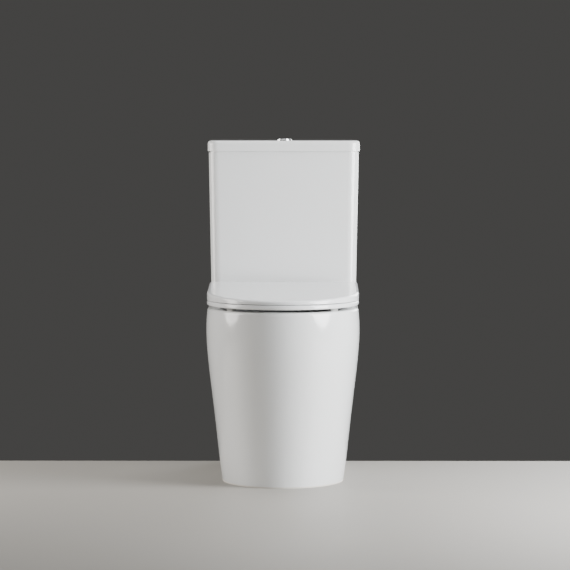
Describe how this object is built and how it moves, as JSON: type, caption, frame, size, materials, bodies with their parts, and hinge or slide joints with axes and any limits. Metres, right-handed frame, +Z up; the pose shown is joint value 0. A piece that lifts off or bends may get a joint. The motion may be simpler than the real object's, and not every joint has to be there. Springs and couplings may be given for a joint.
{
  "type": "close coupled toilet",
  "caption": "Close coupled toilet: fully skirted pan, cistern with a lift-off lid and dual push button, hinged seat and cover.",
  "frame": {"origin": "centre of the bounding box at floor level: halfway between the wall and the seat's nose, on the centre line", "axes": "+Z up, the nose of the seat points to -Y, the wall is at +Y, +X is to the right of someone facing the toilet"},
  "size_m": [0.375, 0.65, 0.8165],
  "materials": {
    "glazed_china": "high gloss white glaze",
    "seat_plastic": "gloss white",
    "chrome": "polished",
    "rubber": "matt",
    "foam_rubber": "matt closed cell",
    "stainless_steel": "satin",
    "white_plastic": "moulded",
    "blue_plastic": "moulded",
    "grey_plastic": "moulded"
  },
  "bodies": {
    "root": {"cistern": "glazed_china", "coupling_bolt_seals": "rubber", "coupling_bolts": "stainless_steel", "coupling_gasket": "foam_rubber", "coupling_washers": "rubber", "coupling_wing_nuts": "stainless_steel", "cover_damper": "grey_plastic", "cover_pivot_pin": "stainless_steel", "fill_lever_pin": "stainless_steel", "fill_valve_backnut": "white_plastic", "fill_valve_body": "white_plastic", "fill_valve_head": "white_plastic", "fill_valve_washer": "rubber", "floor_brackets": "white_plastic", "flush_valve_backnut": "white_plastic", "flush_valve_base": "white_plastic", "flush_valve_cage": "white_plastic", "flush_valve_washer": "rubber", "hinge_bolts": "stainless_steel", "hinge_bushes": "rubber", "hinge_plates": "seat_plastic", "hinge_post_left": "chrome", "hinge_post_right": "chrome", "inlet_filter": "stainless_steel", "lever_bridge": "white_plastic", "lever_pins": "stainless_steel", "pan_bowl": "glazed_china", "pan_deck": "glazed_china", "pan_flush_channel": "glazed_china", "pan_skirt": "glazed_china", "pan_trapway": "glazed_china", "screw_caps": "white_plastic", "seat_buffers": "rubber", "seat_damper": "grey_plastic", "seat_pivot_pin": "stainless_steel", "side_screws": "stainless_steel"},
    "seat": {"seat_ring": "seat_plastic", "seat_damper_shaft": "stainless_steel"},
    "cover": {"seat_cover": "seat_plastic", "cover_buffers": "rubber", "cover_damper_shaft": "stainless_steel"},
    "cistern_lid": {"cistern_lid": "glazed_china", "button_bezel": "chrome", "button_locknut": "white_plastic"},
    "full_button": {"full_flush_button": "chrome", "full_push_rod": "white_plastic", "full_button_spring": "stainless_steel"},
    "half_button": {"half_flush_button": "chrome", "half_push_rod": "white_plastic", "half_button_spring": "stainless_steel"},
    "full_lever": {"full_flush_lever": "blue_plastic"},
    "half_lever": {"half_flush_lever": "blue_plastic"},
    "valve": {"lift_tube": "white_plastic", "flush_valve_seal": "rubber"},
    "shutter": {"half_flush_shutter": "blue_plastic"},
    "float": {"fill_float": "grey_plastic", "float_rod": "grey_plastic"},
    "fill_lever_arm": {"fill_lever": "blue_plastic"}
  },
  "joints": [
    {"name": "seat_hinge", "type": "hinge", "parent": "root", "child": "seat", "pos_m": [0, 0.11, 0.441], "axis": [1, 0, 0], "range_deg": [-93, 0]},
    {"name": "cover_hinge", "type": "hinge", "parent": "seat", "child": "cover", "pos_m": [0, 0.11, 0.441], "axis": [-1, 0, 0], "range_deg": [0, 93]},
    {"name": "cistern_lid_lift", "type": "slide", "parent": "root", "child": "cistern_lid", "axis": [0, 0, 1], "range_m": [0, 0.12]},
    {"name": "full_flush_press", "type": "slide", "parent": "cistern_lid", "child": "full_button", "axis": [0, 0, -1], "range_m": [0, 0.005], "stiffness_N_per_m": 600, "deforming": ["full_button_spring"]},
    {"name": "half_flush_press", "type": "slide", "parent": "cistern_lid", "child": "half_button", "axis": [0, 0, -1], "range_m": [0, 0.005], "stiffness_N_per_m": 600, "deforming": ["half_button_spring"]},
    {"name": "full_lever_pivot", "type": "hinge", "parent": "root", "child": "full_lever", "pos_m": [0.02, 0.2345, 0.712], "axis": [0, -1, 0], "range_deg": [0, 26.2]},
    {"name": "half_lever_pivot", "type": "hinge", "parent": "root", "child": "half_lever", "pos_m": [-0.02, 0.2345, 0.712], "axis": [0, 1, 0], "range_deg": [0, 26.2]},
    {"name": "valve_lift", "type": "slide", "parent": "root", "child": "valve", "axis": [0, 0, 1], "range_m": [0, 0.0119]},
    {"name": "shutter_lift", "type": "slide", "parent": "root", "child": "shutter", "axis": [0, 0, 1], "range_m": [0, 0.0119]},
    {"name": "float_slide", "type": "slide", "parent": "root", "child": "float", "axis": [0, 0, 1], "range_m": [-0.012, 0]},
    {"name": "fill_lever_pivot", "type": "hinge", "parent": "root", "child": "fill_lever_arm", "pos_m": [-0.118, 0.2345, 0.735], "axis": [0, -1, 0], "range_deg": [-28.8, 0]}
  ],
  "couplings": [
    {"joint": "full_lever_pivot", "follows": "full_flush_press", "rad_per_m": 90.909},
    {"joint": "half_lever_pivot", "follows": "half_flush_press", "rad_per_m": 90.909},
    {"joint": "valve_lift", "follows": "full_flush_press", "ratio": 2.3636},
    {"joint": "shutter_lift", "follows": "half_flush_press", "ratio": 2.3636},
    {"joint": "fill_lever_pivot", "follows": "float_slide", "rad_per_m": 41.667}
  ]
}
